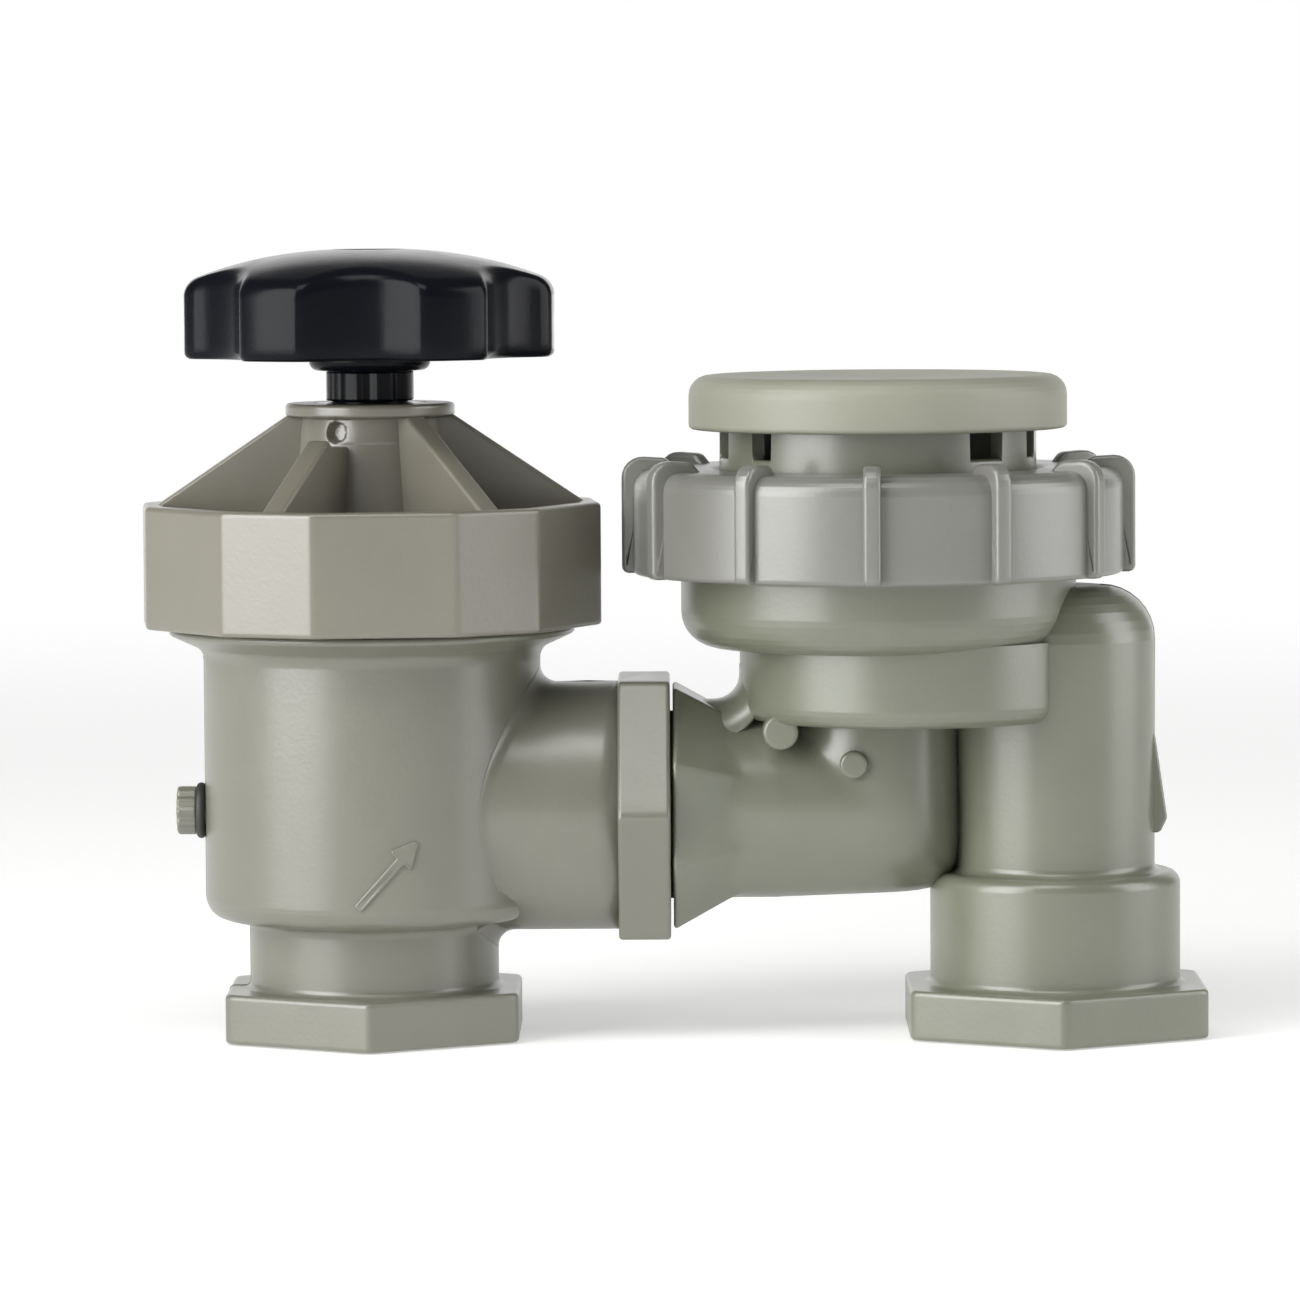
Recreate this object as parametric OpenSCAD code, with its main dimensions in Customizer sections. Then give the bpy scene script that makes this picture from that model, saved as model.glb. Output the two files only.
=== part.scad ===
// Manual anti-siphon irrigation valve: an angle valve with a hand wheel, screwed to an
// atmospheric vacuum breaker. Both pipe mouths face down.
// Millimetres, +Z up. The origin is the centre of the inlet mouth, and the outlet is on +X.

/* [Pipe connections] */
// Radius of the threaded wall in both pipe mouths, 3/4 inch pipe
thread_r = 12.1; // [11.8:0.05:12.4]
// Length of the threaded wall in both pipe mouths
thread_depth = 15; // [13:0.5:16]
// Distance between the inlet and outlet axes
centre_distance = 88.9; // [88:0.1:90]
// Across-flats width of the inlet hexagon
inlet_af = 38; // [36:0.5:40]
// Across-flats width of the outlet hexagon
outlet_af = 38.6; // [36:0.2:40]
// Height of both hexagons
hex_h = 6.4; // [5:0.2:8]

/* [Valve body] */
// Outer radius of the round barrel
barrel_r = 21.9; // [21.5:0.1:22.5]
// Height of the barrel's underside
barrel_z = 15.5; // [15:0.1:16]
// Rounding of the barrel's lower edge
barrel_round = 4; // [2:0.5:5]
// Radius of the neck between hexagon and barrel
neck_r = 16.2; // [15.8:0.1:17]
// Height of the side outlet's axis
side_z = 29.8; // [29:0.1:30.5]
// Outer radius of the side outlet
side_r = 16.2; // [15.8:0.1:16.6]
// Face of the side outlet, where the breaker screws in
side_face = 38.8; // [38.5:0.1:39]
// Height of the valve seat
seat_z = 44; // [43.5:0.1:44.5]
// Radius of the water way through the seat
seat_bore_r = 9.6; // [9:0.1:10]

/* [Bonnet] */
// Radius over the corners of the bonnet's skirt
bonnet_r = 30.2; // [29.5:0.1:31]
// Lower edge of the skirt
bonnet_z = 53.6; // [53.6:0.1:54]
// Upper edge of the skirt
bonnet_top = 69.5; // [69:0.1:70]
// Turn of the skirt's front face towards the outlet, in degrees
bonnet_turn = 5.5; // [0:0.5:15]
// Half of the angle that a wide face of the skirt spans, in degrees
wide_half = 17.8; // [15:0.1:20]
// Height of the tower's top
tower_top = 82.5; // [82.3:0.1:82.6]
// Radius of the collar at the tower's top
collar_r = 11; // [10.5:0.1:11.5]
// Thickness of the six ribs
rib_w = 3; // [2:0.2:4]

/* [Stem and hand wheel] */
// Radius of the threaded stem
stem_r = 5; // [4.9:0.05:5]
// Lift of the seat disc from closed to open
disc_travel = 7.5; // [6:0.5:7.5]
// Radius over the six lobes of the hand wheel
wheel_r = 24.1; // [23.5:0.1:25]
// Lower face of the hand wheel
wheel_z = 88.4; // [88:0.1:88.8]
// Top of the hand wheel
wheel_top = 102.5; // [102:0.1:103]
// Radius of the scallops between the lobes
scallop_r = 11; // [10.5:0.1:12]
// How far outside the wheel's edge the centres of the scallops lie
scallop_offset = 7; // [6.5:0.1:7.5]

/* [Vacuum breaker] */
// Distance of the float's axis from the inlet axis
float_x = 66; // [65.5:0.1:66.5]
// Outer radius of the float bowl
bowl_r = 25.7; // [25.5:0.1:26]
// Outer radius of the drum under the bowl
drum_r = 21.9; // [21.5:0.1:22]
// Outer radius of the horizontal tube and its elbow
tube_r = 12.1; // [12:0.1:12.4]
// Outer radius of the outlet column
column_r = 13; // [12.8:0.1:13.2]
// Top of the outlet column
column_top = 58.2; // [57.8:0.1:58.4]
// Lift of the float from vents open to vents shut
float_travel = 4.5; // [3:0.5:4.5]

/* [Ring nut and vent cap] */
// Radius of the ring nut between its ribs
nut_r = 31.9; // [31.5:0.1:32.3]
// Height of the ribs on the ring nut
nut_rib = 1.5; // [1:0.1:2]
// Lower edge of the ring nut
nut_z = 60; // [60:0.1:60.2]
// Upper face of the ring nut
nut_top = 73.7; // [73.6:0.1:74]
// Radius of the vent cap
cap_r = 24.6; // [24:0.1:25]
// Lower edge of the vent cap
cap_z = 78.8; // [78.5:0.1:79]
// Top of the vent cap
cap_top = 85.8; // [85.6:0.1:86]

/* [Hidden] */
$fn = 64;
fit = 0.1;
eps = 0.01;
body_tan = [0.60, 0.59, 0.53];
taupe = [0.63, 0.59, 0.52];
cap_beige = [0.78, 0.77, 0.68];
nut_grey = [0.58, 0.58, 0.56];
black = [0.07, 0.08, 0.09];
rubber_black = [0.03, 0.03, 0.03];
steel = [0.72, 0.72, 0.74];
brass = [0.75, 0.60, 0.30];
white_plastic = [0.88, 0.88, 0.85];
// valve body and what fits in it
side_hex_af = 33.6;
side_hex_x = 32;
chamber_r = 18.7;
chamber_z = 20;
riser_r = 12.6;
side_bore_r = 9.5;
socket_r = 12.4;
socket_x = 26;
flange_z = 50.5;
flange_r = 28.2;
body_thread_r = 24.4;
body_top = 61.5;
bonnet_o_r = 21.4;
bonnet_o_section = 1.15;
plug_x = -barrel_r;
plug_r = 3.15;
plug_proud = 3.7;
plug_thread_r = 2.4;
plug_z = 29.4;
plug_o_section = 0.6;
// bonnet and packing
bonnet_wall = 2.7;
bonnet_floor = 66.3;
ceiling_r = 8;
insert_r = 18.5;
insert_z = 55;
packing_z = 74;
packing_r = 7.3;
packing_section = 1.1;
packing_ring_r = packing_r - fit / 2 - packing_section;
gland_z = 79.2;
rib_top_z = 80.7;
rib_end_r = 26.7;
rib_end_z = 69.9;
pin_hole_turn = -117;
pin_hole_z = 78.9;
pin_hole_r = 1.3;
// stem and seat disc
stem_fit = 0.05;
neck_flute_r = 5.8;
neck_flutes = 8;
drive_w = 7;
drive_top = 95;
pin_r = 3.8;
disc_r = 13.8;
washer_r = 12.2;
washer_h = 3;
washer_z = seat_z + fit;
plate_z = washer_z + washer_h;
plate_top = 52;
hub_r = 7.2;
hub_top = 58;
clip_z = 54.4;
clip_h = 1.2;
screw_r = 2;
// hand wheel
wheel_hub_r = 7.9;
wheel_hub_z = 86.7;
wheel_shoulder_z = 97.6;
wheel_pocket_r = 16;
wheel_pocket_z = 95.5;
wheel_web = 1.8;
wheel_screw_z = 100;
wheel_screw_r = 4;
// breaker
riser_x = 65.5;
breaker_riser_r = 10.7;
breaker_riser_bore = 8.2;
elbow_round = 8;
elbow_x = riser_x + breaker_riser_r;
tube_bore = 9;
collar_x = side_face + 0.3;
collar_end_x = 46;
collar_big_r = 17;
collar_small_r = 13;
drum_x = 69.8;
drum_z = 41;
bowl_z = 50.5;
bowl_round = 6.9;
bowl_thread_r = 28.4;
bowl_top = 66.5;
float_chamber_r = 22.6;
float_chamber_z = 53;
drum_chamber_r = 18.9;
drum_chamber_z = 44.5;
column_bore = 9.8;
column_round = 7;
outlet_hub_r = 16.3;
outlet_hub_z = 18.5;
breaker_seat_z = 54.8;
lug_z = [26, 38];
boss_r = 1.8;
boss_x = 62.4;
boss_z = 35.8;
upper_boss_r = 2.3;
upper_boss_x = 53;
upper_boss_z = 40.1;
upper_boss_y = 11.1;
// float and vent
float_r = 13.5;
float_stem_r = 2.5;
float_plate_z = breaker_seat_z + fit + 1.2;
float_plate_top = float_plate_z + 1.3;
float_seal_top = float_plate_top + 1.2;
vent_lip_z = float_seal_top + 4.6;
vent_port_r = 11.2;
vent_plug_r = 22.4;
vent_flange_r = 28.2;
vent_flange_top = 70.6;
vent_neck_r = 20.6;
vent_neck_top = 75.2;
vent_neck_wall = 2;
vent_post_top = 83.4;
vent_post_w = 6;
vent_post_turn = 3;
vent_turn = -95;
vent_panel_half = 38;
spider_z = 65.5;
vent_o_r = 24.6;
vent_o_section = 1;
nut_thread_r = 28.5;
nut_lip_z = vent_flange_top;
nut_open_r = 21.4;
nut_ribs = 12;
nut_turn = -3;
nut_rib_w = 2.2;
nut_peak_z = 75.3;

function arc(cx, cz, r, from, to, n = 5) =
    [for (i = [0:n]) let (a = from + (to - from) * i / n) [cx + r * cos(a), cz + r * sin(a)]];

// Hexagonal prism with its corners on +Y and -Y
module hexagon(af, h) {
    rotate([0, 0, 30]) cylinder(r = af / 2 / cos(30), h = h, $fn = 6);
}

// O-ring lying in the XY plane, with its centre at height z
module o_ring(ring_r, section, z) {
    translate([0, 0, z]) rotate_extrude() translate([ring_r, 0]) circle(r = section, $fn = 32);
}

// Round body on +Z from z0 to z1, with a rounded lower edge
module rounded_below(r, z0, z1, edge) {
    rotate_extrude() polygon(concat([[0, z0]], arc(r - edge, z0 + edge, edge, -90, 0), [[r, z1], [0, z1]]));
}

// Round body on +Z from z0 to z1, with a rounded upper edge
module rounded_above(r, z0, z1, edge) {
    rotate_extrude() polygon(concat([[0, z0], [r, z0]], arc(r - edge, z1 - edge, edge, 0, 90), [[0, z1]]));
}

module along_x(x, z) {
    translate([x, 0, z]) rotate([0, 90, 0]) children();
}

module valve_body() color(body_tan) {
    difference() {
        union() {
            hexagon(inlet_af, hex_h);
            cylinder(r = neck_r, h = barrel_z + 1);
            rounded_below(barrel_r, barrel_z, flange_z, barrel_round);
            translate([0, 0, flange_z])
                cylinder(r1 = barrel_r, r2 = flange_r, h = bonnet_z - fit - flange_z);
            translate([0, 0, bonnet_z - 1]) cylinder(r = body_thread_r, h = body_top - bonnet_z + 1);
            along_x(0, side_z) cylinder(r = side_r, h = side_hex_x + 1);
            along_x(side_hex_x, side_z) hexagon(side_hex_af, side_face - side_hex_x);
        }
        translate([0, 0, -1]) cylinder(r = thread_r, h = thread_depth + 1);
        translate([0, 0, chamber_z]) cylinder(r = chamber_r, h = body_top);
        cylinder(r = seat_bore_r, h = chamber_z + 1);
        along_x(chamber_r - 2, side_z) cylinder(r = side_bore_r, h = side_face);
        along_x(socket_x, side_z) cylinder(r = socket_r, h = side_face);
        along_x(plug_x - 1, plug_z) cylinder(r = plug_thread_r + fit / 2, h = barrel_r - chamber_r + 3);
        o_groove(bonnet_o_r, bonnet_o_section, body_top);
    }
    // riser that carries the seat
    difference() {
        translate([0, 0, chamber_z - 1]) cylinder(r = riser_r, h = seat_z - chamber_z);
        translate([0, 0, chamber_z - 2]) cylinder(r = seat_bore_r, h = seat_z);
    }
    difference() {
        translate([0, 0, seat_z - 1 - eps]) cylinder(r = seat_bore_r + 1.6, h = 1 + eps);
        translate([0, 0, seat_z - 2]) cylinder(r = seat_bore_r, h = 3);
    }
}

module drain_plug() color(body_tan) along_x(plug_x, plug_z) {
    difference() {
        translate([0, 0, -plug_proud]) cylinder(r = plug_r, h = plug_proud - 2 * plug_o_section);
        translate([-plug_r - 1, -0.5, -plug_proud - 1]) cube([2 * plug_r + 2, 1, 2]);
    }
    translate([0, 0, -2 * plug_o_section - eps])
        cylinder(r = plug_thread_r, h = barrel_r - chamber_r + 2 * plug_o_section);
}

module drain_plug_o_ring() color(rubber_black) along_x(plug_x, plug_z)
    o_ring(plug_thread_r + fit / 2 + plug_o_section, plug_o_section, -plug_o_section);

// Corners of the bonnet's skirt: a hexagon with its corners cut off
function bonnet_outline(r) =
    [for (i = [0:5], side = [-1, 1])
        let (a = -90 + bonnet_turn + 60 * i + side * wide_half) [r * cos(a), r * sin(a)]];

module bonnet_rib(i) {
    rotate([0, 0, -90 + bonnet_turn + 30 + 60 * i]) translate([0, rib_w / 2, 0]) rotate([90, 0, 0])
        linear_extrude(rib_w)
            polygon([
                [ceiling_r, bonnet_floor - 1], [rib_end_r + 1, bonnet_floor - 1],
                [rib_end_r + 1, bonnet_top], [rib_end_r, rib_end_z],
                [collar_r, rib_top_z], [ceiling_r, rib_top_z]
            ]);
}

module bonnet() color(taupe) difference() {
    union() {
        difference() {
            translate([0, 0, bonnet_z]) linear_extrude(bonnet_top - bonnet_z)
                polygon(bonnet_outline(bonnet_r));
            translate([0, 0, bonnet_floor]) linear_extrude(bonnet_top)
                polygon(bonnet_outline(bonnet_r - bonnet_wall));
        }
        translate([0, 0, bonnet_floor - 1])
            cylinder(r1 = collar_r - 0.6, r2 = collar_r - 2, h = rib_top_z - bonnet_floor + 1);
        translate([0, 0, rib_top_z - 0.5]) cylinder(r = collar_r, h = tower_top - rib_top_z + 0.5);
        for (i = [0:5]) bonnet_rib(i);
    }
    // thread over the valve body's neck
    translate([0, 0, bonnet_z - 1]) difference() {
        cylinder(r = body_thread_r + fit, h = body_top - bonnet_z + 1);
        translate([0, 0, insert_z - bonnet_z + 1]) cylinder(r = insert_r, h = body_top);
    }
    translate([0, 0, bonnet_z - 2]) cylinder(r = disc_r + 1.7, h = body_top - bonnet_z + 2);
    cylinder(r = ceiling_r, h = bonnet_floor);
    cylinder(r = stem_r + stem_fit, h = tower_top);
    translate([0, 0, packing_z]) cylinder(r = packing_r, h = tower_top);
    // pin hole in the tower, drilled in past the top of the rib on the left of the front
    rotate([0, 0, pin_hole_turn]) along_x(packing_r + 0.9, pin_hole_z) cylinder(r = pin_hole_r, h = collar_r);
}

module bonnet_o_ring() color(rubber_black) o_ring(bonnet_o_r, bonnet_o_section, body_top - bonnet_o_section);

module packing_gland() color(black) difference() {
    translate([0, 0, gland_z]) cylinder(r = packing_r - fit / 2, h = tower_top - gland_z);
    translate([0, 0, gland_z - 1]) cylinder(r = stem_r + fit, h = tower_top);
}

module stem_o_rings() color(rubber_black)
    for (i = [0, 1])
        o_ring(packing_ring_r, packing_section, packing_z + packing_section + i * (2 * packing_section + 0.6));

module stem() color(black) difference() {
    union() {
        translate([0, 0, plate_top + 0.3]) cylinder(r = pin_r - stem_fit, h = hub_top - plate_top + 1);
        translate([0, 0, hub_top + 0.3]) cylinder(r = stem_r, h = tower_top + 0.5 - hub_top);
        translate([0, 0, tower_top + 0.3]) cylinder(r = neck_flute_r, h = wheel_hub_z - tower_top - 0.3);
        translate([-drive_w / 2, -drive_w / 2, wheel_hub_z - 1]) cube([drive_w, drive_w, drive_top - wheel_hub_z + 1]);
    }
    for (i = [0:neck_flutes - 1]) rotate([0, 0, 360 / neck_flutes * i])
        translate([neck_flute_r + 0.6, 0, tower_top + 1]) cylinder(r = 1.3, h = wheel_hub_z - tower_top - 1);
    // groove for the clip, and the hole for the wheel's screw
    difference() {
        translate([0, 0, clip_z - fit]) cylinder(r = pin_r + 1, h = clip_h + 2 * fit);
        cylinder(r = pin_r - 1.2, h = hub_top);
    }
    translate([0, 0, wheel_hub_z + 1]) cylinder(r = screw_r + stem_fit, h = drive_top);
}

module lobed_outline() {
    difference() {
        circle(r = wheel_r);
        for (i = [0:5]) rotate(30 + 60 * i) translate([wheel_r + scallop_offset, 0]) circle(r = scallop_r);
    }
}

module wheel_envelope() {
    rotate_extrude() polygon(concat(
        [[0, wheel_z], [wheel_r - 0.8, wheel_z], [wheel_r, wheel_z + 0.8]],
        arc(wheel_r - 3, wheel_shoulder_z - 1, 3, 0, 55, 4),
        [[15.6, wheel_top - 1], [9, wheel_top - 0.15], [0, wheel_top]]));
}

module handle() color(black) difference() {
    union() {
        difference() {
            intersection() {
                wheel_envelope();
                linear_extrude(wheel_top + 1) lobed_outline();
            }
            translate([0, 0, wheel_z - 1]) difference() {
                cylinder(r = wheel_pocket_r, h = wheel_pocket_z - wheel_z + 1);
                cylinder(r = wheel_hub_r, h = wheel_top);
                for (i = [0:2]) rotate([0, 0, 60 * i]) translate([-wheel_r, -wheel_web / 2, 0])
                    cube([2 * wheel_r, wheel_web, wheel_top]);
            }
        }
        rounded_below(wheel_hub_r, wheel_hub_z, wheel_z + 1, 1.2);
    }
    translate([-drive_w / 2 - fit / 2, -drive_w / 2 - fit / 2, wheel_hub_z - 1])
        cube([drive_w + fit, drive_w + fit, drive_top - wheel_hub_z + 1 + fit]);
    translate([0, 0, wheel_hub_z]) cylinder(r = screw_r + fit, h = wheel_top);
    translate([0, 0, wheel_screw_z]) cylinder(r = wheel_screw_r + 0.5, h = wheel_top);
}

// Pan-head screw with a cross slot, its head's underside at the origin and its shank on -Z
module screw(head_r, head_h, shank_r, shank_l) {
    difference() {
        cylinder(r = head_r, h = head_h);
        for (a = [0, 90]) rotate([0, 0, a]) translate([-head_r * 0.55, -0.5, head_h - 1])
            cube([head_r * 1.1, 1, 2]);
    }
    translate([0, 0, -shank_l]) cylinder(r = shank_r, h = shank_l + eps);
}

module handle_screw() color(steel) translate([0, 0, wheel_screw_z]) screw(wheel_screw_r, 1.8, screw_r, 11);

module disc_holder() color(white_plastic) difference() {
    union() {
        translate([0, 0, washer_z + 0.8]) cylinder(r = disc_r, h = plate_top - washer_z - 0.8);
        translate([0, 0, plate_top - 1]) cylinder(r = hub_r, h = hub_top - plate_top + 1);
    }
    translate([0, 0, washer_z - 1]) cylinder(r = washer_r + fit / 2, h = washer_h + 1);
    translate([0, 0, washer_z]) cylinder(r = screw_r + stem_fit, h = plate_top - 1.5 - washer_z);
    translate([0, 0, plate_top]) cylinder(r = pin_r, h = hub_top);
    translate([-hub_r - 1, -pin_r - 0.6, clip_z - fit / 2]) cube([2 * hub_r + 2, 2 * pin_r + 1.2, clip_h + fit]);
}

module disc_clip() color(steel) translate([0, 0, clip_z]) difference() {
    translate([-hub_r + 1, -pin_r - 0.5, 0]) cube([hub_r + 3, 2 * pin_r + 1, clip_h]);
    translate([0, 0, -1]) cylinder(r = pin_r - 1.2 + fit, h = clip_h + 2);
    translate([0, -pin_r + 1.2 - fit, -1]) cube([hub_r, 2 * (pin_r - 1.2 + fit), clip_h + 2]);
}

module seat_washer() color(rubber_black) difference() {
    translate([0, 0, washer_z]) cylinder(r = washer_r, h = washer_h);
    translate([0, 0, washer_z - 1]) cylinder(r = screw_r + stem_fit, h = washer_h + 2);
}

module seat_washer_screw() color(brass) translate([0, 0, washer_z]) mirror([0, 0, 1])
    screw(4, 1.8, screw_r, plate_top - 2 - washer_z);

module breaker_outside() {
    // spigot into the valve body
    along_x(socket_x + 2, side_z) cylinder(r = socket_r - fit, h = collar_x - socket_x);
    along_x(collar_x, side_z) rotate([0, 0, 22.5])
        cylinder(r1 = collar_big_r, r2 = collar_small_r, h = collar_end_x - collar_x, $fn = 8);
    along_x(0, side_z) mirror([0, 0, 1]) translate([0, 0, -elbow_x])
        rounded_below(tube_r, 0, elbow_x - collar_x, elbow_round);
    translate([riser_x, 0, side_z]) cylinder(r = breaker_riser_r, h = drum_z - side_z + 1);
    translate([drum_x, 0, 0]) rounded_below(drum_r, drum_z, bowl_z + 1, 2);
    translate([float_x, 0, 0]) {
        rounded_below(bowl_r, bowl_z, nut_z + 1, bowl_round);
        translate([0, 0, nut_z]) cylinder(r = bowl_thread_r, h = bowl_top - nut_z);
    }
    // outlet column, its hub and hexagon
    translate([centre_distance, 0, 0]) {
        rounded_above(column_r, outlet_hub_z, column_top, column_round);
        rounded_above(outlet_hub_r, 0, outlet_hub_z + 2.5, 3);
        hexagon(outlet_af, hex_h);
    }
    // wedge lug on the column's outer side
    translate([centre_distance + column_r, 3, 0]) rotate([90, 0, 0]) linear_extrude(6)
        polygon([[-2, lug_z[0]], [0.6, lug_z[0]], [1.5, lug_z[0] + 1.6], [0, lug_z[1]], [-2, lug_z[1]]]);
    // two bosses and a web under the drum
    translate([boss_x, 0, boss_z]) rotate([90, 0, 0]) cylinder(r = boss_r, h = tube_r);
    translate([upper_boss_x, 0, upper_boss_z]) rotate([90, 0, 0]) cylinder(r = upper_boss_r, h = upper_boss_y);
    translate([drum_x - drum_r + 3, -1.5, side_z]) cube([drum_r - 6, 3, drum_z - side_z + 1]);
}

module breaker_body() color(body_tan) {
    difference() {
        breaker_outside();
        along_x(socket_x, side_z) cylinder(r = tube_bore, h = riser_x - socket_x);
        translate([riser_x, 0, side_z]) sphere(r = tube_bore);
        translate([riser_x, 0, side_z]) cylinder(r = breaker_riser_bore, h = breaker_seat_z);
        difference() {
            union() {
                translate([drum_x, 0, drum_chamber_z])
                    cylinder(r = drum_chamber_r, h = float_chamber_z - drum_chamber_z + 1);
                translate([float_x, 0, float_chamber_z]) cylinder(r = float_chamber_r, h = bowl_top);
                translate([centre_distance, 0, 0]) {
                    rounded_above(column_bore, 1, column_top - 3.2, 4);
                }
            }
            translate([riser_x, 0, 0]) cylinder(r = breaker_riser_bore + 2.2, h = breaker_seat_z - 1);
            translate([riser_x, 0, 0]) cylinder(r = breaker_riser_bore + 1.4, h = breaker_seat_z);
        }
        translate([centre_distance, 0, -1]) cylinder(r = thread_r, h = thread_depth + 1);
        translate([float_x, 0, 0]) o_groove(vent_o_r, vent_o_section, bowl_top);
    }
}

// Square groove that an O-ring fills, cut down into a face at height z
module o_groove(ring_r, section, z) {
    translate([0, 0, z - 2 * section]) difference() {
        cylinder(r = ring_r + section + fit / 2, h = 2 * section + 1);
        translate([0, 0, -1]) cylinder(r = ring_r - section - fit / 2, h = 2 * section + 3);
    }
}

module joint_o_ring() color(rubber_black) along_x(0, side_z)
    o_ring(socket_r - fit - 1.1, 0.95, socket_x + 1);

module float() color(white_plastic) translate([float_x, 0, 0]) difference() {
    union() {
        translate([0, 0, float_plate_z]) cylinder(r = float_r, h = float_plate_top - float_plate_z);
        translate([0, 0, float_plate_z]) cylinder(r = float_stem_r, h = vent_neck_top - float_plate_z);
    }
    translate([0, 0, float_plate_z - 1]) cylinder(r = 1.3, h = 6);
}

module float_seal(inner_r, outer_r, z, h) {
    translate([float_x, 0, z]) difference() {
        cylinder(r = outer_r, h = h);
        translate([0, 0, -1]) cylinder(r = inner_r, h = h + 2);
    }
}

module float_lower_seal() color(rubber_black)
    float_seal(1.3, breaker_riser_bore + 3.5, breaker_seat_z + fit, float_plate_z - breaker_seat_z - fit);

module float_upper_seal() color(rubber_black)
    float_seal(float_stem_r + stem_fit, float_r, float_plate_top, float_seal_top - float_plate_top);

module float_screw() color(steel) translate([float_x, 0, breaker_seat_z + fit]) mirror([0, 0, 1])
    screw(3.4, 1.6, 1.25, 5);

module vent_seat() color(body_tan) translate([float_x, 0, 0]) {
    difference() {
        union() {
            translate([0, 0, vent_lip_z + 0.8]) cylinder(r = vent_plug_r, h = bowl_top - vent_lip_z);
            translate([0, 0, vent_lip_z]) cylinder(r = vent_port_r + 1.6, h = 2);
            translate([0, 0, bowl_top]) cylinder(r = vent_flange_r, h = vent_flange_top - bowl_top);
            translate([0, 0, bowl_top]) cylinder(r = vent_neck_r, h = vent_post_top - bowl_top);
        }
        translate([0, 0, vent_lip_z - 1]) cylinder(r = vent_port_r, h = vent_neck_top);
        translate([0, 0, vent_flange_top]) cylinder(r = vent_neck_r - vent_neck_wall, h = vent_neck_top);
        // windows, which leave three panels and three posts that carry the cap
        translate([0, 0, vent_neck_top]) linear_extrude(vent_post_top) difference() {
            circle(r = vent_neck_r + vent_neck_wall);
            for (i = [0:2]) rotate(vent_turn + 120 * i) {
                polygon([for (a = [-1, -0.5, 0, 0.5, 1] * vent_panel_half) vent_flange_r * [cos(a), sin(a)], [0, 0]]);
                rotate(60 + vent_post_turn) translate([0, -vent_post_w / 2]) square([vent_flange_r, vent_post_w]);
            }
        }
    }
    // spider that guides the float's stem
    difference() {
        translate([0, 0, spider_z]) {
            cylinder(r = float_stem_r + 2, h = 4.6);
            for (i = [0:2]) rotate([0, 0, 90 + 120 * i]) translate([0, -1.1, 0]) cube([vent_port_r + 1, 2.2, 3]);
        }
        translate([0, 0, spider_z - 1]) cylinder(r = float_stem_r + stem_fit, h = 10);
    }
}

module vent_seat_o_ring() color(rubber_black) translate([float_x, 0, 0])
    o_ring(vent_o_r, vent_o_section, bowl_top - vent_o_section);

module ring_nut() color(nut_grey) translate([float_x, 0, 0]) difference() {
    union() {
        rounded_above(nut_r, nut_z, nut_top, 2.6);
        for (i = [0:nut_ribs - 1]) rotate([0, 0, -90 + nut_turn + 360 / nut_ribs * i])
            translate([0, nut_rib_w / 2, 0]) rotate([90, 0, 0]) linear_extrude(nut_rib_w)
                polygon(concat(
                    [[nut_open_r + 4, nut_z], [nut_r + nut_rib, nut_z]],
                    arc(nut_r + nut_rib - 3.2, nut_peak_z - 3.2, 3.2, 0, 80),
                    [[nut_open_r + 6.5, nut_top - eps], [nut_open_r + 4, nut_top - 1]]));
    }
    translate([0, 0, nut_z - 1]) cylinder(r = nut_thread_r, h = nut_lip_z - nut_z + 1);
    cylinder(r = nut_open_r, h = nut_top + 5);
}

module vent_cap() color(cap_beige) translate([float_x, 0, 0]) {
    difference() {
        rounded_above(cap_r, cap_z, cap_top, 2.8);
        translate([0, 0, cap_z - 1]) cylinder(r = cap_r - 2, h = vent_post_top - cap_z + 1 + fit);
    }
    // snap ring inside the posts
    difference() {
        translate([0, 0, cap_z + 1]) cylinder(r = vent_neck_r - vent_neck_wall - fit, h = cap_top - cap_z - 2);
        translate([0, 0, cap_z]) cylinder(r = vent_neck_r - vent_neck_wall - 2, h = vent_post_top - cap_z + fit);
    }
}

valve_body();
drain_plug();
drain_plug_o_ring();
bonnet();
bonnet_o_ring();
packing_gland();
stem_o_rings();
stem();
handle();
handle_screw();
disc_holder();
disc_clip();
seat_washer();
seat_washer_screw();
breaker_body();
joint_o_ring();
float();
float_lower_seal();
float_upper_seal();
float_screw();
vent_seat();
vent_seat_o_ring();
ring_nut();
vent_cap();
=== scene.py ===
import bmesh
import bpy
import numpy as np
from mathutils import Matrix, Vector


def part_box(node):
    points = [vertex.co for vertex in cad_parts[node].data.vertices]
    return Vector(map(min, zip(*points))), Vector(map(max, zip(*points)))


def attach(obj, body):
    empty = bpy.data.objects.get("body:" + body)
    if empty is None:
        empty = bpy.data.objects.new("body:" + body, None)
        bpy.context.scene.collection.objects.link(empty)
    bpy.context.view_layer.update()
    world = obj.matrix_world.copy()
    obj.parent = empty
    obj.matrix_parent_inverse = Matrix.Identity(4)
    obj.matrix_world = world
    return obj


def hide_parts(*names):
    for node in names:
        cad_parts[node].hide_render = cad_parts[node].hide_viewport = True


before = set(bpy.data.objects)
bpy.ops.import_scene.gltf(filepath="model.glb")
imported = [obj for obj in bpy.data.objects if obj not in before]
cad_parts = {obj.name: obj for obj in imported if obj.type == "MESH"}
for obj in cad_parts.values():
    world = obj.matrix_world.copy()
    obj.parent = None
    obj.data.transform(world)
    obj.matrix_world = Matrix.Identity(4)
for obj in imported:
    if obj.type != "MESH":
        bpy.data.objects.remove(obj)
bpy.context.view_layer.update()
MM = 0.001

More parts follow.
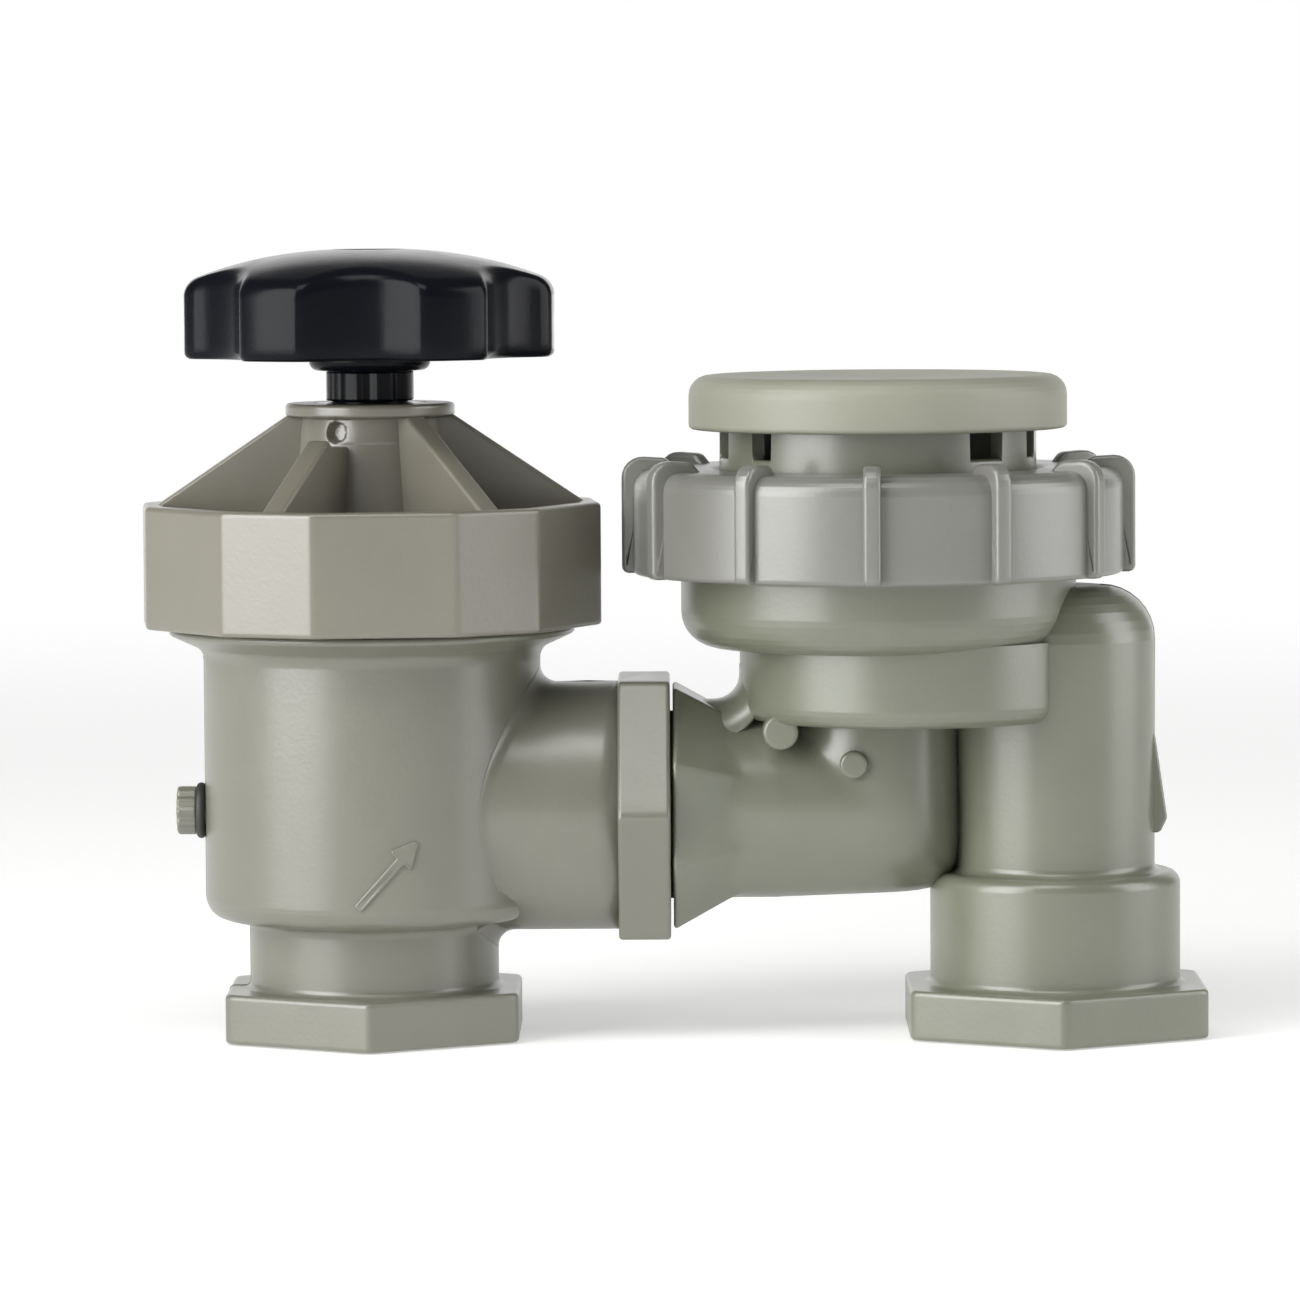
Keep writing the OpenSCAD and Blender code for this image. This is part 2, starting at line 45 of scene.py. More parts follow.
# ---------------------------------------------------------------------------------------------
# Valve body: the barrel on the left, with its inlet hexagon below and its outlet on the side.
# Injection-moulded in glass-filled plastic, in a mould that parts along the plane of the two
# pipe axes, with the inlet thread moulded in. The shape is turned, the side branch runs into it.


def rounded(corners, closed=True, hold=0.12, span=50.0):
    """An outline through corners of (radius, height, rounding, extra columns...).

    Each corner becomes an arc of its rounding that touches both straight sides. Straight sides get a
    point close to each end, which keeps their shading flat, and one at least every span. The extra
    columns are carried along in proportion. An open outline keeps its first and last corner. An arc
    takes at most half of a side that it shares with another arc."""
    c = np.array([list(map(float, row)) for row in corners])
    n, out = len(c), []
    for i in range(n):
        here, before, after = c[i], c[i - 1], c[(i + 1) % n]
        if not closed and i in (0, n - 1) or here[2] <= 0:
            out.append(here[None, :])
            continue
        u, v = before[:2] - here[:2], after[:2] - here[:2]
        lu, lv = np.hypot(*u), np.hypot(*v)
        u, v = u / lu, v / lv
        half = 0.5 * np.arccos(np.clip(u @ v, -1, 1))
        reach = min(here[2] / np.tan(half), 0.97 * lu if before[2] <= 0 else 0.49 * lu,
                    0.97 * lv if after[2] <= 0 else 0.49 * lv)
        r = reach * np.tan(half)
        mid = here[:2] + (u + v) / np.hypot(*(u + v)) * r / np.sin(half)
        a, b = here[:2] + u * reach - mid, here[:2] + v * reach - mid
        steps = int(4 + 2 * np.sqrt(here[2]))
        w, t = np.pi - 2 * half, np.linspace(0, 1, steps)[:, None]
        arc = mid + (np.sin((1 - t) * w) * a + np.sin(t * w) * b) / np.sin(w)
        out.append(np.hstack([arc, np.repeat(here[None, 2:], steps, 0)]))
    p = np.vstack(out)
    q = np.vstack([p, p[:1]]) if closed else p
    length = np.hypot(*(q[1:, :2] - q[:-1, :2]).T)
    rows = []
    for a, b, s in zip(q[:-1], q[1:], length):
        count = max(1, int(np.ceil(s / span)))
        t = np.linspace(0, 1, count + 1)[:-1]
        if s > 4 * hold:
            t = np.unique(np.concatenate([t, [hold / s, 1 - hold / s]]))
        rows.append(a + (b - a) * t[:, None])
    if not closed:
        rows.append(q[-1:])
    p = np.vstack(rows)
    return np.delete(p, 2, axis=1)


def around(edges=(), reach=3.0, fine=0.35, coarse=2.0):
    """Angles round a turned piece, in degrees: one every coarse, and every fine within reach of an edge."""
    angles = [np.arange(0, 360, coarse)]
    angles += [edge + np.arange(-reach, reach + fine / 2, fine) for edge in edges]
    return np.unique(np.round(np.concatenate(angles) % 360, 4) % 360)


def polygon_radius(angles, sides, sharp=60):
    """Radius of a polygon with rounded corners: the smallest apothem, times the sum over sides of
    max(0, cos(angle - direction) * smallest apothem / apothem) ^ sharp, to the power -1 / sharp."""
    direction, apothem = np.array(sides, float).T
    c = np.cos(np.radians(angles[:, None] - direction)) * apothem.min() / apothem
    return apothem.min() * (np.maximum(c, 0) ** sharp).sum(1) ** (-1 / sharp)


def grid_faces(rows, columns, closed):
    """Four-cornered faces of a grid whose columns wrap round, and whose rows wrap too if closed."""
    i = np.arange(rows if closed else rows - 1)[:, None]
    j = np.arange(columns)[None, :]
    i2, j2 = (i + 1) % rows, (j + 1) % columns
    corners = [i * columns + j, i * columns + j2, i2 * columns + j2, i2 * columns + j]
    return np.stack([np.broadcast_to(c, (i.shape[0], columns)).ravel() for c in corners], 1)


def shell(points, closed):
    """A closed skin from a grid of points (rows, columns, 3) that wraps round its columns. Where the rows
    don't wrap, the first and last row each shrink to one point, the pole. Its faces are turned outwards."""
    rows, columns, _ = points.shape
    faces = grid_faces(rows, columns, closed)
    flat = points.reshape(-1, 3)
    a, b, c, d = (flat[faces[:, k]] for k in range(4))
    volume = (np.cross(b - a, c - a) * a).sum() + (np.cross(c - a, d - a) * a).sum()
    return flat, faces[:, ::-1] if volume < 0 else faces


def turned(outline, angles, dr=0.0, dz=0.0, centre=(0, 0), closed=True, axis="z"):
    """The outline (radius, height) turned about an axis: x = (r + dr) cos a, y = (r + dr) sin a,
    z = height + dz. dr and dz are given for each outline point and angle. Axis "z" stands at centre in
    x and y, and "x" lies along X with its centre given in y and z."""
    a = np.radians(angles)[None, :]
    r = outline[:, 0:1] + dr + 0 * a
    h = outline[:, 1:2] + dz + 0 * a
    if axis == "z":
        grid = np.stack([centre[0] + r * np.cos(a), centre[1] + r * np.sin(a), h], -1)
    else:
        grid = np.stack([h, centre[0] + r * np.cos(a), centre[1] + r * np.sin(a)], -1)
    return shell(grid, closed)


def merged(name, shells, material):
    """One object from closed shells in millimetres: metres in the mesh, poles merged, smooth shading."""
    offset, points, faces = 0, [], []
    for p, f in shells:
        points.append(p)
        faces.append(f + offset)
        offset += len(p)
    points, faces = np.vstack(points) * MM, np.vstack(faces)
    mesh = bpy.data.meshes.new(name)
    mesh.vertices.add(len(points))
    mesh.vertices.foreach_set("co", points.astype(np.float32).ravel())
    mesh.loops.add(faces.size)
    mesh.loops.foreach_set("vertex_index", faces.astype(np.int32).ravel())
    mesh.polygons.add(len(faces))
    mesh.polygons.foreach_set("loop_start", np.arange(0, faces.size, 4, dtype=np.int32))
    mesh.update(calc_edges=True)
    work = bmesh.new()
    work.from_mesh(mesh)
    bmesh.ops.remove_doubles(work, verts=work.verts, dist=1e-7)
    work.to_mesh(mesh)
    work.free()
    mesh.polygons.foreach_set("use_smooth", np.ones(len(mesh.polygons), bool))
    mesh.materials.append(material)
    thing = bpy.data.objects.new(name, mesh)
    bpy.context.scene.collection.objects.link(thing)
    return thing


def piece(name, shells, material, body, node):
    """A part of the valve: it moves with body and takes the place of the frame's node."""
    thing = merged(name, shells, material)
    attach(thing, body)
    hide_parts(node)


def srgb(red, green, blue):
    """A colour given in 0 to 255 display values, as the linear values that shaders take."""
    c = np.array([red, green, blue]) / 255
    return (*np.where(c <= 0.04045, c / 12.92, ((c + 0.055) / 1.055) ** 2.4), 1.0)


def moulded_plastic(name, colour, mottle=0.07, roughness=0.30, grain=0.05, gloss=1.0):
    """Moulded plastic: broad cloudy variation from the melt, fine spark-eroded grain in the bump, and a
    roughness that wanders with handling. All patterns are in object coordinates."""
    m = bpy.data.materials.new(name)
    m.use_nodes = True
    tree, make = m.node_tree, m.node_tree.nodes.new
    link = tree.links.new
    shader = tree.nodes["Principled BSDF"]
    shader.inputs["Specular IOR Level"].default_value = gloss
    where = make("ShaderNodeTexCoord").outputs["Object"]
    clouds, flow, skin = (make("ShaderNodeTexNoise") for _ in range(3))
    for noise, scale, detail in ((clouds, 38, 3), (flow, 150, 4), (skin, 1800, 3)):
        noise.inputs["Scale"].default_value = scale
        noise.inputs["Detail"].default_value = detail
        link(where, noise.inputs["Vector"])
    flow.inputs["Distortion"].default_value = 0.8
    both = make("ShaderNodeMath")
    both.operation = "MULTIPLY_ADD"
    both.inputs[1].default_value = 0.35
    link(flow.outputs["Fac"], both.inputs[0])
    link(clouds.outputs["Fac"], both.inputs[2])
    ramp = make("ShaderNodeValToRGB")
    ramp.color_ramp.elements[0].position, ramp.color_ramp.elements[1].position = 0.45, 0.9
    ramp.color_ramp.elements[0].color = (*(np.array(colour[:3]) * (1 - mottle)), 1)
    ramp.color_ramp.elements[1].color = (*(np.array(colour[:3]) * (1 + mottle)), 1)
    link(both.outputs[0], ramp.inputs["Fac"])
    link(ramp.outputs["Color"], shader.inputs["Base Color"])
    rough = make("ShaderNodeMapRange")
    rough.inputs["To Min"].default_value = roughness - 0.05
    rough.inputs["To Max"].default_value = roughness + 0.07
    link(flow.outputs["Fac"], rough.inputs["Value"])
    link(rough.outputs["Result"], shader.inputs["Roughness"])
    bump = make("ShaderNodeBump")
    bump.inputs["Strength"].default_value = grain
    bump.inputs["Distance"].default_value = 0.0004
    link(skin.outputs["Fac"], bump.inputs["Height"])
    link(bump.outputs["Normal"], shader.inputs["Normal"])
    return m


def helix(outline, angles, pitch):
    """Height of a right-hand thread's tooth, 0 at its root and 1 at its crest: a triangle wave of
    height / pitch - angle / 360, with its tips cut flat."""
    phase = outline[:, 1:2] / pitch - angles[None, :] / 360
    return np.clip((np.abs(2 * (phase % 1) - 1) - 0.12) / 0.76, 0, 1)


def branch(barrel, tube_r, blend, height, end, angles):
    """A tube along +X that leaves an upright barrel, given as rows of (height, radius). Its root is the
    fillet of a ball of radius blend that rolls in the corner: the ball's centre is where both walls,
    moved out by blend, cross, and the fillet turns about it from the barrel's wall to the tube's."""
    a = np.radians(angles)
    side = np.stack([0 * a, np.cos(a), np.sin(a)], 1)
    ball = side * (tube_r + blend)
    main_r = np.interp(height + ball[:, 2], *np.array(barrel, float).T)[:, None]
    ball[:, 0] = np.sqrt((main_r[:, 0] + blend) ** 2 - ball[:, 1] ** 2)
    flat = ball * [1, 1, 0]
    to_main, to_tube = -blend * flat / (main_r + blend), -blend * side
    w = np.arccos((to_main * to_tube).sum(1) / blend**2)[:, None]
    t = np.linspace(0, 1, 10)[:, None, None]
    arc = ball + (np.sin((1 - t) * w) * to_main + np.sin(t * w) * to_tube) / np.sin(w)
    root = arc[0] * [0.94, 0.94, 1]
    along = np.linspace(0, 1, 6)[1:, None, None]
    straight = arc[-1] + (end - arc[-1][:, :1]) * along * [1, 0, 0]
    ends = np.array([[14, 0, 0], [end, 0, 0]])[:, None, :] + 0 * side
    rows = np.concatenate([ends[:1], root[None], arc, straight, ends[1:]])
    return shell(rows + [0, 0, height], False)


def bead(path, width=0.5, height=0.12):
    """The thin line that a mould's parting leaves, along a path of (x, z) in the plane y = 0: an ellipse
    carried along it, its long radius along Y and its short radius along the path's normal, shrunk to a
    point at both ends."""
    step = np.gradient(path, axis=0)
    step /= np.hypot(*step.T)[:, None]
    out = np.stack([step[:, 1], -step[:, 0]], 1)
    a = np.linspace(0, 2 * np.pi, 8, endpoint=False)
    size = np.ones(len(path))
    size[[0, -1]] = 0
    xz = path[:, None, :] + (size * height)[:, None, None] * np.cos(a)[None, :, None] * out[:, None, :]
    y = (size * width / 2)[:, None] * np.sin(a)[None, :]
    return shell(np.stack([xz[..., 0], y, xz[..., 1]], -1), False)


def slab(outline, thickness, edge, place, pole=None):
    """A plate with the given outline (u, v) and rounded edges. Its rows run through the thickness: the
    outline moved in by edge * (1 - cos), then its full size, then in again, with a pole on each face.
    place turns arrays of u, v and depth w into x, y and z. The pole is the outline's mean, or as given."""
    step = np.roll(outline, -1, 0) - np.roll(outline, 1, 0)
    step /= np.hypot(*step.T)[:, None]
    normal = np.stack([step[:, 1], -step[:, 0]], 1)
    area = (outline * np.roll(outline, -1, 0)[:, ::-1] * [1, -1]).sum()
    normal *= np.sign(area)
    turn = np.linspace(np.pi / 2, 0, 5)
    inset = edge * (1 - np.cos(turn))
    inset = np.concatenate([[1.5 * edge], inset, inset[::-1], [1.5 * edge]])
    depth = thickness / 2 - edge * (1 - np.sin(turn))
    depth = np.concatenate([[thickness / 2], depth, -depth[::-1], [-thickness / 2]])
    uv = outline[None] - inset[:, None, None] * normal[None]
    middle = (outline.mean(0) if pole is None else np.array(pole)) + 0 * uv[:1]
    uv = np.concatenate([middle, uv, middle])
    w = np.concatenate([depth[:1], depth, depth[-1:]])[:, None] + 0 * uv[..., 0]
    return shell(np.stack(place(uv[..., 0], uv[..., 1], w), -1), False)


pipe_pitch, pipe_tooth = 25.4 / 14, 1.05
hexagon_corners = [30 + 60 * k for k in range(6)]
seat_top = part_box("seat_washer")[0].z / MM - 0.1
barrel_r, neck_r, thread_r, thread_depth = 21.9, 16.2, 12.1, 15
inlet_apothem, hexagon_h = 19.0, 6.4
barrel_low, barrel_high, body_top = 15.5, 50.5, 61.5
body_thread_r, chamber_r, chamber_low = 24.4, 18.7, 20
side_z, side_r, side_apothem, side_start, side_face = 29.8, 16.2, 16.8, 32, 38.75
body_plastic = moulded_plastic("body_plastic", srgb(115, 115, 103))


def pipe_mouth(thread_r, depth):
    """Rows of a threaded mouth from its inner end down to its face, with the thread's weight in the last
    column: the wall is subdivided finely enough to carry the helix."""
    heights = np.linspace(depth - 0.6, 0.9, 74)
    weight = np.clip((depth - 1.2 - heights) / 1.5, 0, 1)
    rows = np.stack([np.full_like(heights, thread_r), heights, 0 * heights, weight], 1)
    return np.vstack([[[thread_r, depth, 0, 0]], rows, [[thread_r + 0.9, 0.0, 0, 0]]])


# columns after each corner's rounding: the weight of the hexagon's flats, and of the thread
angles = around(hexagon_corners, coarse=2.0)
outside = rounded([
    (thread_r + 1.2, 0, 0, 0, 0), (inlet_apothem, 0, 0.5, 1, 0), (inlet_apothem, hexagon_h, 0.6, 1, 0),
    (neck_r, hexagon_h, 0.8, 0, 0), (neck_r, barrel_low, 1.5, 0, 0), (barrel_r, barrel_low, 4, 0, 0),
    (barrel_r, barrel_high, 2.0, 0, 0), (28.2, 53.4, 0.5, 0, 0), (body_thread_r, 53.4, 0, 0, 0),
    (body_thread_r, body_top, 0.5, 0, 0), (chamber_r, body_top, 0.4, 0, 0),
    (chamber_r, chamber_low, 1.5, 0, 0), (12.6, chamber_low, 1, 0, 0), (12.6, seat_top - 1, 0.4, 0, 0),
    (11.2, seat_top - 1, 0, 0, 0), (11.2, seat_top, 0.4, 0, 0), (9.6, seat_top, 0.3, 0, 0),
    (9.6, thread_depth, 0.5, 0, 0), (thread_r, thread_depth + 0.05, 0, 0, 0)], closed=False)
outline = np.vstack([outside, pipe_mouth(thread_r, thread_depth)])
flats = polygon_radius(angles, [(60 * k, inlet_apothem) for k in range(6)]) - inlet_apothem
bulge = outline[:, 2:3] * flats + pipe_tooth * outline[:, 3:4] * helix(outline, angles, pipe_pitch)
shells = [turned(outline, angles, bulge)]

# side outlet: a tube that grows out of the barrel, and its hexagon
side_angles = around([60 * k for k in range(6)], coarse=3.0)
lower_barrel = [(14.4, neck_r), (15.2, 18.0), (16.5, 20.6), (18, 21.6), (19.5, barrel_r)]
shells.append(branch(lower_barrel, side_r, 2.2, side_z, side_start + 0.6, around(coarse=2.5)))
outline = rounded([(0, side_start, 0, 0), (side_apothem, side_start, 0.5, 1),
                   (side_apothem, side_face, 0.5, 1), (0, side_face, 0, 0)], closed=False)
flats = polygon_radius(side_angles, [(30 + 60 * k, side_apothem) for k in range(6)]) - side_apothem
bulge = outline[:, 2:3] * flats
shells.append(turned(outline, side_angles, bulge, centre=(0, side_z), closed=False, axis="x"))

# parting beads down the outer side, and on top of the side outlet
seam = outside[(outside[:, 0] > 15.5) & (outside[:, 1] < 50) & (outside[:, 1] > 0.6)][:, :2] * [-1, 1]
shells.append(bead(seam))
shells.append(bead(np.array([[x, side_z + side_r] for x in (24.5, 28, 32)])))

# flow arrow, raised on the front of the barrel and pointing up towards the outlet
arrow = rounded([(-8.4, -0.6, 0.3), (-0.2, -0.6, 0.2), (-0.2, -1.9, 0.3), (3.6, 0, 0.4), (-0.2, 1.9, 0.3),
                 (-0.2, 0.6, 0.2), (-8.4, 0.6, 0.3)], hold=0.3, span=0.8)
arrow_turn, arrow_across, arrow_z = 48, 4.4, 24.8


def on_barrel(u, v, w):
    """Wraps the flat arrow round the barrel's front: turned by arrow_turn, then bent to the radius."""
    c, s = np.cos(np.radians(arrow_turn)), np.sin(np.radians(arrow_turn))
    bend = np.radians(-90) + (arrow_across + u * c - v * s) / barrel_r
    r = barrel_r + w
    return r * np.cos(bend), r * np.sin(bend), arrow_z + u * s + v * c


shells.append(slab(arrow, 0.7, 0.2, on_barrel, (0, 0)))
piece("valve_body_shell", shells, body_plastic, "root", "valve_body")

# ---------------------------------------------------------------------------------------------
# Drain plug: a small moulded screw in the outer side of the barrel that lets the water out
# before frost. It has a fluted head with a dished face, and is pulled down on its O-ring.
plug_low, plug_high = (np.array(p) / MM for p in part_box("drain_plug"))
plug_z, head_end = (plug_low[2] + plug_high[2]) / 2, plug_low[0]
outline = rounded([(0, head_end + 0.5, 0, 0), (1.5, head_end + 0.5, 0.3, 0), (2.1, head_end, 0.2, 0),
                   (3.0, head_end, 0.35, 1), (3.0, head_end + 2.5, 0.2, 1), (2.4, head_end + 2.5, 0.1, 0),
                   (2.4, plug_high[0], 0.3, 0), (0, plug_high[0], 0, 0)], closed=False)
angles = around(coarse=3.0)
flutes = 0.15 * np.cos(np.radians(12 * angles))
plug = turned(outline, angles, outline[:, 2:3] * flutes, centre=(0, plug_z), closed=False, axis="x")
piece("drain_plug_head", [plug], body_plastic, "root", "drain_plug")


# ---------------------------------------------------------------------------------------------
# Bonnet: the twelve-sided cover that screws down over the body's threaded neck. Moulded in a
# warmer batch of the same plastic, with a tower for the stem's packing and six stiffening ribs. A pin
# hole in the tower is drilled just over one rib, which is cut lower for it.
def leaf(axis, direction):
    """The place of a slab that stands upright in a radial plane: u runs outwards in that direction, in
    degrees, from the upright axis at (x, y), v is the height and w lies across."""
    x, y = axis
    c, s = np.cos(np.radians(direction)), np.sin(np.radians(direction))
    return lambda u, v, w: (x + u * c - w * s, y + u * s + w * c, v)


bonnet_plastic = moulded_plastic("bonnet_plastic", srgb(117, 114, 102), mottle=0.06)
wide_directions = [-84.5 + 60 * k for k in range(6)]
rib_directions = [-54.5 + 60 * k for k in range(6)]
wide_apothem, narrow_apothem = 28.75, 29.52
skirt_low, skirt_top, bonnet_floor, tower_top = 53.6, 69.5, 66.3, 82.5
skirt_half_angle = 17.8
skirt_corners = [d + side * skirt_half_angle for d in wide_directions for side in (-1, 1)]
hole_direction, hole_height = -117.0, 78.9

angles = around(skirt_corners + [hole_direction], reach=3.0, fine=0.3, coarse=2.5)
skirt_sides = [(d, wide_apothem) for d in wide_directions] + [(d, narrow_apothem) for d in rib_directions]
flats = polygon_radius(angles, skirt_sides, sharp=260) - wide_apothem
lower = rounded([
    (5.1, bonnet_floor, 0.2, 0), (8, bonnet_floor, 0.3, 0), (8, body_top, 0.3, 0), (15.5, body_top, 0.3, 0),
    (15.5, 55, 0.3, 0), (18.5, 55, 0.3, 0), (18.5, body_top, 0.3, 0), (24.55, body_top, 0.3, 0),
    (24.55, skirt_low, 0.3, 0), (wide_apothem, skirt_low, 0.5, 1), (wide_apothem, skirt_top, 0.6, 1),
    (26.05, skirt_top, 0.4, 1), (26.05, bonnet_floor, 0.8, 1), (10.35, bonnet_floor, 1.2, 0),
    (9.25, 77.4, 0, 0)], closed=False)
tower_heights = np.arange(77.55, 80.45, 0.15)
tower = np.stack([9.0 + 0.09 * (80.7 - tower_heights), tower_heights, 0 * tower_heights], 1)
upper = rounded([
    (9.0, 80.6, 0, 0), (11, 80.9, 0.3, 0), (11, tower_top, 0.5, 0), (7.3, tower_top, 0.3, 0),
    (7.3, 74, 0.3, 0), (5.1, 74, 0.2, 0), (5.1, 66.5, 0, 0)], closed=False)
outline = np.vstack([lower, tower, upper])
across = 9.1 * np.radians(angles - (hole_direction % 360))[None, :]
from_hole = np.hypot(across, outline[:, 1:2] - hole_height)
pin_hole = -1.5 * np.clip((1.4 - from_hole) / 0.3, 0, 1) * (np.abs(outline[:, 0:1] - 9.2) < 0.4)
shells = [turned(outline, angles, outline[:, 2:3] * flats + pin_hole)]
rib_foot = [(8.0, 65.6, 0.8), (28.3, 65.6, 0.8), (28.3, 69.1, 0.8)]
rib = rounded(rib_foot + [(10.8, 80.9, 0.8), (8.0, 80.9, 0.8)], span=4)
cut_rib = rounded(rib_foot + [(14.6, 78.3, 1.0), (13.6, 77.3, 0.9), (8.0, 77.1, 0.8)], span=4)
shells += [slab(rib, 3.0, 0.45, leaf((0, 0), d)) for d in rib_directions[:5]]
shells.append(slab(cut_rib, 3.0, 0.45, leaf((0, 0), rib_directions[5])))
piece("bonnet_shell", shells, bonnet_plastic, "root", "bonnet")

# ---------------------------------------------------------------------------------------------
# Packing gland: the black ring pressed into the tower's mouth, which holds the stem's O-rings
# down. Moulded acetal with a chamfered mouth and two notches for a pin spanner.
black_plastic = moulded_plastic("black_plastic", srgb(13, 15, 20), mottle=0.12, roughness=0.20, grain=0.03,
                                gloss=0.12)
angles = around([90, 270], reach=14, fine=1.0, coarse=3.0)
gland = rounded([(5.12, 79.2, 0.2, 0), (7.22, 79.2, 0.2, 0), (7.22, tower_top, 0.3, 1),
                 (5.5, tower_top, 0, 1), (5.12, 82.1, 0, 1)])
notch = -0.9 * np.clip((np.abs(np.cos(np.radians(angles))) - 0.12) / -0.04, 0, 1)
piece("packing_gland_ring", [turned(gland, angles, 0.0, gland[:, 2:3] * notch)], black_plastic, "root",
      "packing_gland")

# ---------------------------------------------------------------------------------------------
# Stem: turned from black glass-filled nylon with a coarse thread that runs in the bonnet, a
# fluted neck above it, and a square for the hand wheel. It moves the seat disc up and down.
stem_pitch = 2.5
screw_r, shaft_r, neck_flute_r, square_half = 4.2, 4.98, 5.75, 3.48
# columns after each corner's rounding: the weight of the neck's flutes, of the square and of the thread
angles = around([45, 135, 225, 315], reach=6, fine=1.0, coarse=3.0)
start = rounded([(0, 52.35, 0, 0, 0, 0), (3.7, 52.35, 0.3, 0, 0, 0), (3.7, 54.3, 0.1, 0, 0, 0),
                 (2.6, 54.3, 0, 0, 0, 0), (2.6, 55.7, 0, 0, 0, 0), (3.7, 55.7, 0.1, 0, 0, 0),
                 (3.7, 58.4, 0.1, 0, 0, 0), (screw_r, 58.4, 0.1, 0, 0, 0), (screw_r, 59.4, 0, 0, 0, 0)],
                closed=False)
heights = np.arange(59.6, 73.6, 0.25)
weight = np.clip(np.minimum(heights - 59.6, 73.4 - heights) / 1.2, 0, 1)
screwed = np.stack([screw_r + 0 * heights, heights, 0 * heights, 0 * heights, weight], 1)
end = rounded([(screw_r, 73.8, 0, 0, 0, 0), (shaft_r, 74.2, 0.2, 0, 0, 0), (shaft_r, 82.8, 0.1, 0, 0, 0),
               (neck_flute_r, 82.8, 0.2, 1, 0, 0), (neck_flute_r, 86.6, 0.2, 1, 0, 0),
               (square_half, 86.6, 0.1, 0, 1, 0), (square_half, 94.9, 0.3, 0, 1, 0),
               (2.05, 94.9, 0.1, 0, 0, 0), (2.05, 88.6, 0.1, 0, 0, 0), (0, 88.0, 0, 0, 0, 0)], closed=False)
outline = np.vstack([start, screwed, end])
square = polygon_radius(angles, [(90 * k, square_half) for k in range(4)], sharp=50) - square_half
flutes = -0.75 * np.maximum(0, np.cos(np.radians(8 * angles))) ** 0.8
bulge = outline[:, 2:3] * flutes + outline[:, 3:4] * square
bulge = bulge + 0.78 * outline[:, 4:5] * helix(outline, angles, stem_pitch)
piece("stem_shaft", [turned(outline, angles, bulge)], black_plastic, "stem", "stem")

# ---------------------------------------------------------------------------------------------
# Hand wheel: six lobes for the fingers, domed on top, hollow below with a hub on six webs.
# Moulded in black plastic with a semi-gloss skin, and held on the stem's square by one screw.
wheel_r, scallop_r, scallop_offset = 24.1, 11.0, 7.0
dome_top, dome_fall, shoulder = 102.5, 4.3, 2.8
wheel_bottom, pocket_r, pocket_top = 88.4, 16.0, 95.5
recess_r, socket_half = 4.5, 3.55

angles = around([30 * k for k in range(12)], reach=9, fine=0.9, coarse=2.0)
off = np.radians(angles % 60 - 30)
centre_r = wheel_r + scallop_offset
inside = np.maximum(scallop_r**2 - (centre_r * np.sin(off)) ** 2, 0)
bite = centre_r * np.cos(off) - np.sqrt(inside)
lobes = (wheel_r**-34.0 + bite**-34.0) ** (-1 / 34)


def dome(r):
    """Height of the wheel's top: dome_top less dome_fall times (r / wheel_r) to the power 2.4."""
    return dome_top - dome_fall * (np.maximum(r, 0) / wheel_r) ** 2.4


slope = np.arctan(2.4 * dome_fall / wheel_r * ((lobes - 1) / wheel_r) ** 1.4)
turn = np.pi / 2 - slope
brow = lobes - shoulder * (1 - np.cos(turn))
brow_height = dome(brow) - shoulder * np.sin(turn)
t = np.linspace(0, 1, 26)[:, None]
top_r = recess_r + 0.4 + (brow - recess_r - 0.4) * t
bend = turn * (1 - np.linspace(0, 1, 10)[1:, None])
flank_r = lobes - shoulder * (1 - np.cos(bend))
flank_h = brow_height + shoulder * np.sin(bend)
foot = np.array([[0, 90.4], [0, 89.4], [0.08, 88.95], [0.3, 88.6], [0.65, wheel_bottom],
                 [0.9, wheel_bottom]])
foot_r, foot_h = lobes - foot[:, :1], foot[:, 1:] + 0 * lobes
inner = rounded([(17, wheel_bottom, 0, 0), (pocket_r, wheel_bottom, 0.4, 0), (pocket_r, pocket_top, 1.0, 0),
                 (7.9, pocket_top, 1.0, 0), (7.9, 86.7, 1.2, 0), (socket_half, 86.7, 0.2, 1),
                 (socket_half, 95.2, 0.1, 1), (2.1, 95.2, 0, 0), (2.1, 100, 0.1, 0), (recess_r, 100, 0.2, 0),
                 (recess_r, 102.1, 0, 0), (recess_r + 0.12, 102.36, 0, 0)], closed=False)
socket = polygon_radius(angles, [(90 * k, socket_half) for k in range(4)], sharp=50) - socket_half
inner_r = inner[:, 0:1] + inner[:, 2:3] * socket
r = np.vstack([top_r, flank_r, foot_r, inner_r])
h = np.vstack([dome(top_r), flank_h, foot_h, inner[:, 1:2] + 0 * lobes])
a = np.radians(angles)
shells = [shell(np.stack([r * np.cos(a), r * np.sin(a), h], -1), True)]
web = rounded([(7.0, 88.8, 0.5), (17.2, 88.8, 0.5), (17.2, 96.2, 0.5), (7.0, 96.2, 0.5)], span=3)
shells += [slab(web, 1.8, 0.3, leaf((0, 0), 60 * k)) for k in range(6)]
piece("hand_wheel", shells, black_plastic, "stem", "handle")


